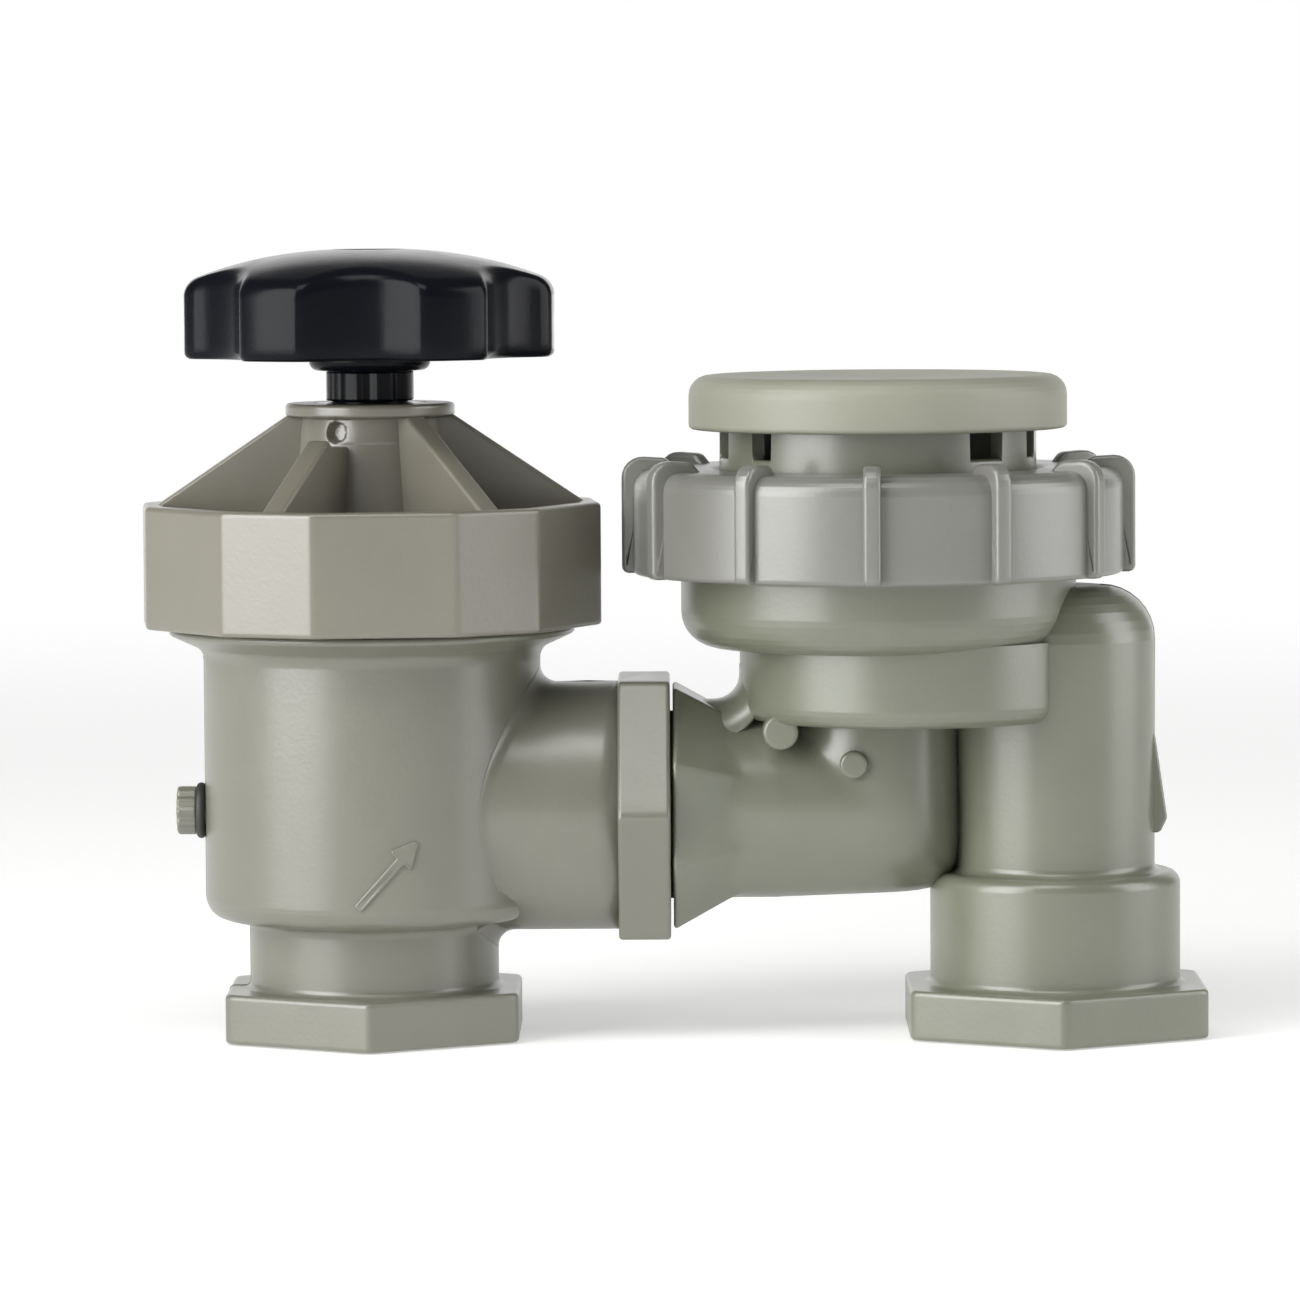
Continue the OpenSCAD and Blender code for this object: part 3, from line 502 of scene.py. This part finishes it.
# ---------------------------------------------------------------------------------------------
# Hand wheel's screw: a stainless pan-head tapping screw with a cross slot, cold-headed and
# rolled, and driven into the end of the stem.
def brushed_metal(name, colour, roughness):
    """Cold-headed metal: full metal colour with fine turned streaks in its roughness."""
    m = bpy.data.materials.new(name)
    m.use_nodes = True
    tree, make = m.node_tree, m.node_tree.nodes.new
    shader = tree.nodes["Principled BSDF"]
    shader.inputs["Metallic"].default_value = 1.0
    streaks = make("ShaderNodeTexNoise")
    streaks.inputs["Scale"].default_value = 2400
    streaks.inputs["Detail"].default_value = 4
    tree.links.new(make("ShaderNodeTexCoord").outputs["Object"], streaks.inputs["Vector"])
    tint = make("ShaderNodeValToRGB")
    tint.color_ramp.elements[0].color = (*(np.array(colour[:3]) * 0.8), 1)
    tint.color_ramp.elements[1].color = colour
    tree.links.new(streaks.outputs["Fac"], tint.inputs["Fac"])
    tree.links.new(tint.outputs["Color"], shader.inputs["Base Color"])
    rough = make("ShaderNodeMapRange")
    rough.inputs["To Min"].default_value = roughness - 0.08
    rough.inputs["To Max"].default_value = roughness + 0.12
    tree.links.new(streaks.outputs["Fac"], rough.inputs["Value"])
    tree.links.new(rough.outputs["Result"], shader.inputs["Roughness"])
    return m


steel = brushed_metal("stainless_steel", srgb(205, 206, 208), 0.28)
head_top, slot_half, slot_reach, slot_cut = 101.75, 0.62, 2.35, 1.1
angles = around(coarse=3.0)
head_rows = np.linspace(0.15, 2.7, 18)
head = np.stack([head_rows, head_top - 0.035 * head_rows**2, 1 + 0 * head_rows], 1)
rim = rounded([(2.9, 101.46, 0, 0), (3.95, 101.25, 0.7, 0), (3.95, 100.02, 0.1, 0), (1.98, 100.02, 0.1, 0),
               (1.98, 90.2, 0.6, 0), (0, 89.2, 0, 0)], closed=False)
outline = np.vstack([[[0, head_top, 1]], head, rim])
a = np.radians(angles)
from_slot = outline[:, 0:1] * np.minimum(np.abs(np.cos(a)), np.abs(np.sin(a)))
cross = np.clip((slot_half - from_slot) / 0.2, 0, 1) * np.clip((slot_reach - outline[:, 0:1]) / 0.3, 0, 1)
screw = turned(outline, angles, 0.0, -slot_cut * outline[:, 2:3] * cross)
piece("hand_wheel_screw", [screw], steel, "stem", "handle_screw")

# ---------------------------------------------------------------------------------------------
# Breaker body: the right-hand housing. A tube leaves the octagonal collar and turns up a square
# elbow into the drum and bowl of the float, and an upright column leads down to the outlet.
# One moulding in the body's plastic, a little more olive, with the outlet thread moulded in.
breaker_plastic = moulded_plastic("breaker_plastic", srgb(113, 116, 100))
outlet_x, bowl_x, drum_x, riser_x = 88.9, 66.0, 69.8, 65.5
tube_r, riser_r, turn_x, turn_z, turn_r = 12.1, 10.7, 52.5, 42.8, 13.0
drum_r, drum_inner_r, drum_low, bowl_r, bowl_low, bowl_top = 21.9, 18.9, 41, 25.7, 50.5, 66.5
column_r, column_top, column_bore, hub_r, outlet_apothem = 13.0, 58.2, 9.8, 16.3, 19.3

# collar and tube along X
angles = around([22.5 + 45 * k for k in range(8)], reach=3, fine=0.6, coarse=2.5)
a = np.radians(angles)
spigot = np.array([[28, 0], [28, 11.6], [28.6, 12.25], [39.1, 12.25]])
collar_x = np.concatenate([[39.1, 39.18, 39.3, 39.6], np.linspace(40, 51.5, 36)])
apothem = np.interp(collar_x, [39.1, 39.3, 39.6, 46, 50], [15.3, 15.6, 15.6, 12.15, 10])
octagon = polygon_radius(angles, [(45 * k, 1.0) for k in range(8)], sharp=90) * apothem[:, None]
collar_r = (octagon**50 + tube_r**50) ** (1 / 50)
r = np.vstack([spigot[:, 1:] + 0 * a, collar_r])
x = np.concatenate([spigot[:, 0], collar_x])[:, None] + 0 * a
straight = np.stack([x, r * np.sin(a), side_z + r * np.cos(a)], -1)

# elbow about (turn_x, turn_z): every distance from there is stretched by a superellipse's radius, which
# squares the bend's outer corner, while the tube's own radius goes from tube_r to riser_r
squareness = 9
t = np.linspace(0, 1, 42)[:, None]
c, sn = np.cos(t * np.pi / 2), np.sin(t * np.pi / 2)
radius = tube_r + (riser_r - tube_r) * t
far = (turn_r - radius * np.cos(a)) * (c**squareness + sn**squareness) ** (-1 / squareness)
elbow = np.stack([turn_x + far * sn, radius * np.sin(a) + 0 * far, turn_z - far * c], -1)
elbow_end = np.array([riser_x, 0, turn_z]) + 0 * elbow[-1:]
tube = np.concatenate([straight, elbow, elbow_end])
shells = [shell(tube, False)]
underside = np.argmin(np.cos(a))
path = np.concatenate([straight[8:, underside], elbow[:, underside]])[:, [0, 2]]
shells.append(bead(path))


def short_of(angles, distance, radius, direction=0.0):
    """How far one can go from a centre before meeting a circle of that radius whose own centre lies at the
    given distance and direction: distance * cos - sqrt(radius^2 - distance^2 sin^2), or no limit."""
    off = np.radians(angles - direction)
    under = radius**2 - (distance * np.sin(off)) ** 2
    meets = (under > 0) & (np.cos(off) > 0)
    return np.where(meets, distance * np.cos(off) - np.sqrt(np.maximum(under, 0)), 99.0)


# drum: a cup whose wall stops inside the column's wall, so that the column's bore stays clear
angles = around([38, 322], reach=4, fine=0.5, coarse=2.0)
outer = rounded([(0, drum_low, 0), (drum_r, drum_low, 2.2), (drum_r, 51.5, 0)], closed=False)
inner = rounded([(drum_inner_r, 51.5, 0), (drum_inner_r, 44.5, 1), (0, 44.5, 0)], closed=False)
gap = outlet_x - drum_x
limits = np.vstack([np.minimum(outer[:, :1], short_of(angles, gap, 11.0)) - outer[:, :1],
                    np.minimum(inner[:, :1], short_of(angles, gap, 12.2)) - inner[:, :1]])
shells.append(turned(np.vstack([outer, inner]), angles, limits, centre=(drum_x, 0), closed=False))

# bowl with its threaded rim, open below into the drum: its floor's inner edge follows the drum's wall
angles = around(coarse=2.0)
bowl = rounded([(22.6, bowl_top, 0.3, 0), (22.6, 53, 1.0, 0), (18.6, 53, 0, 1), (18.6, bowl_low, 0, 1),
                (18.8, bowl_low, 0, 0), (bowl_r, bowl_low, 6.9, 0), (bowl_r, 60, 0.5, 0), (28.4, 60, 0.3, 0),
                (28.4, bowl_top, 0.4, 0)])
off = np.radians(angles)
shift = drum_x - bowl_x
edge = shift * np.cos(off) + np.sqrt(drum_inner_r**2 - (shift * np.sin(off)) ** 2)
edge = np.minimum(edge, 19.0) - 18.6
shells.append(turned(bowl, angles, bowl[:, 2:3] * edge, centre=(bowl_x, 0)))

# riser inside the drum, with the float's seat on top
riser = rounded([(8.2, 44, 0), (10.4, 44, 0), (10.4, 53.8, 0.3), (9.6, 53.8, 0.3), (9.6, 54.8, 0.3),
                 (8.2, 54.8, 0.3)])
shells.append(turned(riser, angles, centre=(riser_x, 0)))

# column, hub and outlet hexagon, bored from below. Inside the bowl the column keeps clear of the float.
# Columns after each corner's rounding: the weight of the flats, of the thread and of that clearance
angles = around(hexagon_corners, coarse=2.0)
bore = rounded([(0, 49.4, 0, 0, 0, 0), (column_bore, 49.4, 4, 0, 0, 0),
                (column_bore, thread_depth, 0.5, 0, 0, 0)], closed=False)
mouth = pipe_mouth(thread_r, thread_depth)
mouth = np.column_stack([mouth, 0 * mouth[:, 0]])
outside = rounded([
    (thread_r + 1.2, 0, 0, 0, 0, 0), (outlet_apothem, 0, 0.5, 1, 0, 0),
    (outlet_apothem, hexagon_h, 0.6, 1, 0, 0), (hub_r, hexagon_h, 0.8, 0, 0, 0), (hub_r, 21, 3, 0, 0, 0),
    (column_r, 21, 1.0, 0, 0, 0), (column_r, 50.8, 0, 0, 0, 0), (column_r, 51.0, 0, 0, 0, 1),
    (column_r, column_top, 7, 0, 0, 1), (0, column_top, 0, 0, 0, 1)], closed=False)
outline = np.vstack([bore, mouth, outside])
flats = polygon_radius(angles, [(60 * k, outlet_apothem) for k in range(6)]) - outlet_apothem
bulge = outline[:, 2:3] * flats + pipe_tooth * outline[:, 3:4] * helix(outline, angles, pipe_pitch)
clear = short_of(angles, outlet_x - bowl_x, 14.4, 180.0)
bulge = bulge + outline[:, 4:5] * (np.minimum(outline[:, :1], clear) - outline[:, :1])
shells.append(turned(outline, angles, bulge, centre=(outlet_x, 0), closed=False))
side = outside[(outside[:, 1] > 22) & (outside[:, 0] > 2)][:, :2] + [outlet_x, 0]
shells.append(bead(side))

# wedge lug on the column's far side, and two bosses on the front of the elbow
lug = rounded([(10.4, 25.8, 0.7), (13.6, 26, 0.7), (14.5, 27.9, 0.9), (12.9, 39, 0.7), (10.4, 39, 0.7)],
              span=2)
shells.append(slab(lug, 6.0, 0.45, leaf((outlet_x, 0), 0)))
a = np.radians(np.arange(0, 360, 10))
disc = np.stack([np.cos(a), np.sin(a)], 1)
shells.append(slab(1.8 * disc, 5.0, 0.45, lambda u, v, w: (62.4 + u, -9.6 + w, 35.8 + v)))
shells.append(slab(2.3 * disc, 6.5, 0.5, lambda u, v, w: (53 + u, -9.2 + w, 40.1 + v)))

# fillet from the tube up into the drum: it follows a quarter circle about (hollow_x, hollow_z), and its
# cross-section is an arch across Y that sinks from the quarter circle into the tube and the drum's wall
hollow_x, hollow_z, hollow_r, hollow_half = 44.5, 46.9, 3.3, 7
phi = np.linspace(0, np.pi / 2, 10)[:, None]
psi = np.radians(np.arange(0, 360, 10))[None, :]
sink = 1 - np.cos(psi) * np.where(np.cos(psi) > 0, 1, 0.15)
reach = hollow_r + (5 - 4 / np.pi * phi) * sink
across = hollow_half * np.sin(psi) + 0 * phi
fillet = np.stack([hollow_x + reach * np.sin(phi), across, hollow_z - reach * np.cos(phi)], -1)
fillet = np.concatenate([fillet[:1] - [1.9, 0, 0], fillet, fillet[-1:] + [0, 0, 1.2]])
ends = fillet[[0, -1]].mean(1, keepdims=True) + 0 * fillet[[0, -1]]
shells.append(shell(np.concatenate([ends[:1], fillet, ends[1:]]), False))
piece("breaker_shell", shells, breaker_plastic, "root", "breaker_body")

# ---------------------------------------------------------------------------------------------
# Vent seat: the ring with the air port that the float closes. It is clamped by the ring nut, and
# three panels and three posts on its neck carry the cap. A spider in the port guides the float's stem.
port_r, neck_inner_r, neck_outer_r, flange_r, flange_top = 11.2, 18.6, 20.6, 28.2, 70.6
panel_turn, panel_half, post_turn, post_half, post_rise = -95, 38.0, -32, 8.7, 8.15
seat = rounded([
    (port_r, 63.2, 0.4, 0), (port_r, flange_top, 0.4, 0), (neck_inner_r, flange_top, 0.8, 0),
    (neck_inner_r, 75.2, 0.4, 1), (neck_outer_r, 75.2, 0.5, 1), (neck_outer_r, flange_top, 0.6, 0),
    (flange_r, 70.55, 0.3, 0), (flange_r, 66.55, 0.3, 0), (22.4, 66.55, 0.3, 0), (22.4, 64.0, 0.5, 0),
    (12.8, 64.0, 0.3, 0), (12.8, 63.2, 0.4, 0)])
raised = [(panel_turn + 120 * k, panel_half) for k in range(3)]
raised += [(post_turn + 120 * k, post_half) for k in range(3)]
angles = around([d + side * half for d, half in raised for side in (-1, 1)], reach=1.0, fine=0.2)
reach = np.max([half - np.abs((angles - d + 180) % 360 - 180) for d, half in raised], 0)
lift = np.clip(reach / 0.7 + 0.5, 0, 1)
lift = post_rise * lift**2 * (3 - 2 * lift)
shells = [turned(seat, angles, 0.0, seat[:, 2:3] * lift, centre=(bowl_x, 0))]

# spider: a guide ring on three arms
angles = around(coarse=2.0)
guide = rounded([(2.55, 65.5, 0.2), (4.5, 65.5, 0.3), (4.5, 70.1, 0.4), (2.55, 70.1, 0.2)])
shells.append(turned(guide, angles, centre=(bowl_x, 0)))
arm = rounded([(4.0, 65.5, 0.4), (12, 65.5, 0.4), (12, 68.5, 0.4), (4.0, 68.5, 0.4)], span=3)
shells += [slab(arm, 2.2, 0.25, leaf((bowl_x, 0), 90 + 120 * k)) for k in range(3)]
piece("vent_seat_ring", shells, breaker_plastic, "root", "vent_seat")

# ---------------------------------------------------------------------------------------------
# Ring nut: screws onto the bowl and clamps the vent seat. Moulded in a greyer batch with twelve
# gripping ribs, each of which runs up the side and stands a little above the top edge.
nut_plastic = moulded_plastic("nut_plastic", srgb(119, 119, 113), mottle=0.06)
nut_r, nut_low, nut_top, nut_opening, nut_turn = 31.9, 60.0, 73.7, 21.4, -93
grip_r, grip_top, grip_w = nut_r + 1.5, 75.3, 2.2
nut = rounded([(28.5, nut_low, 0.3), (nut_r, nut_low, 0.6), (nut_r, nut_top, 2.4),
               (nut_opening, nut_top, 0.8), (nut_opening, 70.65, 0.3), (28.5, 70.65, 0.3)])
shells = [turned(nut, angles, centre=(bowl_x, 0))]
grip = rounded([(29.0, nut_low, 0.8), (grip_r, nut_low, 0.9), (grip_r, grip_top, 3.0), (27.6, 75.0, 1.6),
                (25.6, 72.8, 0.8), (29.0, 71.5, 2.0)], span=2)
shells += [slab(grip, grip_w, 0.5, leaf((bowl_x, 0), nut_turn + 30 * k), (31, 70)) for k in range(12)]
piece("ring_nut_shell", shells, nut_plastic, "root", "ring_nut")

# ---------------------------------------------------------------------------------------------
# Vent cap: the pale lid that keeps dirt out of the air port, moulded in beige and snapped over
# the posts. Air passes below its rim, and its top is very slightly dished.
cap_plastic = moulded_plastic("cap_plastic", srgb(142, 142, 128), mottle=0.05, roughness=0.48, gloss=0.6)
cap_r, cap_low, cap_top = 24.6, 78.8, 85.8
lid = rounded([(0, cap_top - 0.55, 0), (cap_r - 5.5, cap_top - 0.1, 6), (cap_r, cap_top, 2.6),
               (cap_r, cap_low, 0.6), (22.6, cap_low, 0.4), (22.6, 83.5, 0.6), (0, 83.5, 0)],
              closed=False, span=3)
snap = rounded([(16.6, 79.8, 0.3), (18.45, 79.8, 0.3), (18.45, 83.9, 0), (16.6, 83.9, 0)])
shells = [turned(lid, angles, centre=(bowl_x, 0), closed=False), turned(snap, angles, centre=(bowl_x, 0))]
piece("vent_cap_shell", shells, cap_plastic, "root", "vent_cap")


# ---------------------------------------------------------------------------------------------
# Inner parts: seals of black rubber, the seat disc and float of white acetal, brass and steel
# screws and the disc's spring clip. They keep the frame's own shapes and get their finishes.
def dress(nodes, material):
    """Gives these parts of the frame one finish."""
    for name in nodes:
        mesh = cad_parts[name].data
        mesh.materials.clear()
        mesh.materials.append(material)


rubber = moulded_plastic("seal_rubber", srgb(26, 26, 27), mottle=0.2, roughness=0.62, grain=0.12)
acetal = moulded_plastic("white_acetal", srgb(226, 225, 218), mottle=0.03, roughness=0.38, grain=0.03)
dress(["drain_plug_o_ring", "bonnet_o_ring", "stem_o_rings", "seat_washer", "joint_o_ring",
       "float_lower_seal", "float_upper_seal", "vent_seat_o_ring"], rubber)
dress(["disc_holder", "float"], acetal)
dress(["disc_clip", "float_screw"], steel)
dress(["seat_washer_screw"], brushed_metal("brass", srgb(205, 172, 104), 0.3))


# ---------------------------------------------------------------------------------------------
# Stage: a pale floor that fades to plain white away from the valve, a tall softbox to the left of
# the camera, weaker ones to the right and above, a lit backdrop, and the camera itself.
def white_floor():
    """Matt white near the valve, blending to pure light with the distance from it."""
    m = bpy.data.materials.new("pale_floor")
    m.use_nodes = True
    tree, make = m.node_tree, m.node_tree.nodes.new
    link = tree.links.new
    shader = tree.nodes["Principled BSDF"]
    shader.inputs["Base Color"].default_value = (0.72, 0.72, 0.71, 1)
    shader.inputs["Roughness"].default_value = 0.9
    shader.inputs["Emission Color"].default_value = (1, 1, 1, 1)
    shader.inputs["Emission Strength"].default_value = 0.42
    far = make("ShaderNodeVectorMath")
    far.operation = "LENGTH"
    link(make("ShaderNodeTexCoord").outputs["Object"], far.inputs[0])
    fade = make("ShaderNodeMapRange")
    fade.interpolation_type = "SMOOTHSTEP"
    fade.inputs["From Min"].default_value = 0.25
    fade.inputs["From Max"].default_value = 0.90
    link(far.outputs["Value"], fade.inputs["Value"])
    glow = make("ShaderNodeEmission")
    glow.inputs["Color"].default_value = (1, 1, 1, 1)
    glow.inputs["Strength"].default_value = 1.0
    mix = make("ShaderNodeMixShader")
    link(fade.outputs["Result"], mix.inputs["Fac"])
    link(shader.outputs["BSDF"], mix.inputs[1])
    link(glow.outputs["Emission"], mix.inputs[2])
    link(mix.outputs["Shader"], tree.nodes["Material Output"].inputs["Surface"])
    return m


middle_x = 0.036
ring = np.array([[0.0], [0.06], [0.15], [0.4], [1.2], [4.0], [12.0]])
a = np.linspace(0, 2 * np.pi, 64, endpoint=False)[None, :]
upper_face = np.stack([middle_x + ring * np.cos(a), ring * np.sin(a), 0 * ring * a - 0.0002], -1)
lower_face = upper_face[::-1] - [0, 0, 0.02]
plate = shell(np.concatenate([upper_face, lower_face]) / MM, False)
merged("floor_plate", [plate], white_floor())


def area_light(name, azimuth, height, distance, size, power, aim_height):
    """A soft rectangular light at this azimuth, in degrees, and this height and distance, in metres. It
    faces the upright line through the valve's middle, at aim_height. size is its width and height."""
    lamp = bpy.data.lights.new(name, "AREA")
    lamp.shape = "RECTANGLE"
    lamp.size, lamp.size_y = size
    lamp.energy = power
    thing = bpy.data.objects.new(name, lamp)
    bpy.context.scene.collection.objects.link(thing)
    a = np.radians(azimuth)
    spot = Vector((middle_x + distance * np.sin(a), -distance * np.cos(a), height))
    aim = Vector((middle_x, 0, aim_height)) - spot
    thing.location = spot
    thing.rotation_euler = aim.to_track_quat("-Z", "Y").to_euler()
    thing.visible_camera = False


area_light("softbox_left", -52, 0.45, 0.80, (0.62, 1.00), 11.5, 0.40)
area_light("softbox_right", 84, 0.42, 0.80, (0.50, 0.95), 4.9, 0.42)
area_light("softbox_above", -10, 0.80, 0.42, (0.44, 0.33), 1.9, 0.06)
area_light("backdrop", 180, 0.30, 1.60, (2.20, 1.10), 8.5, 0.25)

# surroundings: plain white behind the valve, and otherwise a dim room that is darker overhead
world = bpy.data.worlds.new("studio")
bpy.context.scene.world = world
world.use_nodes = True
sky = world.node_tree.nodes["Background"]
make, link = world.node_tree.nodes.new, world.node_tree.links.new
parts, band = make("ShaderNodeSeparateXYZ"), make("ShaderNodeMapRange")
link(make("ShaderNodeTexCoord").outputs["Generated"], parts.inputs[0])
link(parts.outputs["Z"], band.inputs["Value"])
band.inputs["From Min"].default_value, band.inputs["From Max"].default_value = 0.12, 0.30
band.inputs["To Min"].default_value, band.inputs["To Max"].default_value = 0.28, 0.10
backdrop = make("ShaderNodeMath")
backdrop.operation = "MAXIMUM"
link(make("ShaderNodeLightPath").outputs["Is Camera Ray"], backdrop.inputs[0])
link(band.outputs["Result"], backdrop.inputs[1])
link(backdrop.outputs[0], sky.inputs["Strength"])
sky.inputs["Color"].default_value = (1, 1, 1, 1)
bpy.context.scene.view_settings.view_transform = "Standard"

camera = bpy.data.cameras.new("camera")
camera.lens, camera.sensor_width = 194.0, 36.0
camera.clip_end = 40
eye = bpy.data.objects.new("camera", camera)
bpy.context.scene.collection.objects.link(eye)
eye.location = (0.040, -0.911, 0.113)
aim = Vector((0.0362, 0, 0.0500)) - eye.location
roll = Matrix.Rotation(np.radians(-0.37), 3, "Z")
eye.rotation_euler = (aim.to_track_quat("-Z", "Y").to_matrix() @ roll).to_euler()
bpy.context.scene.camera = eye
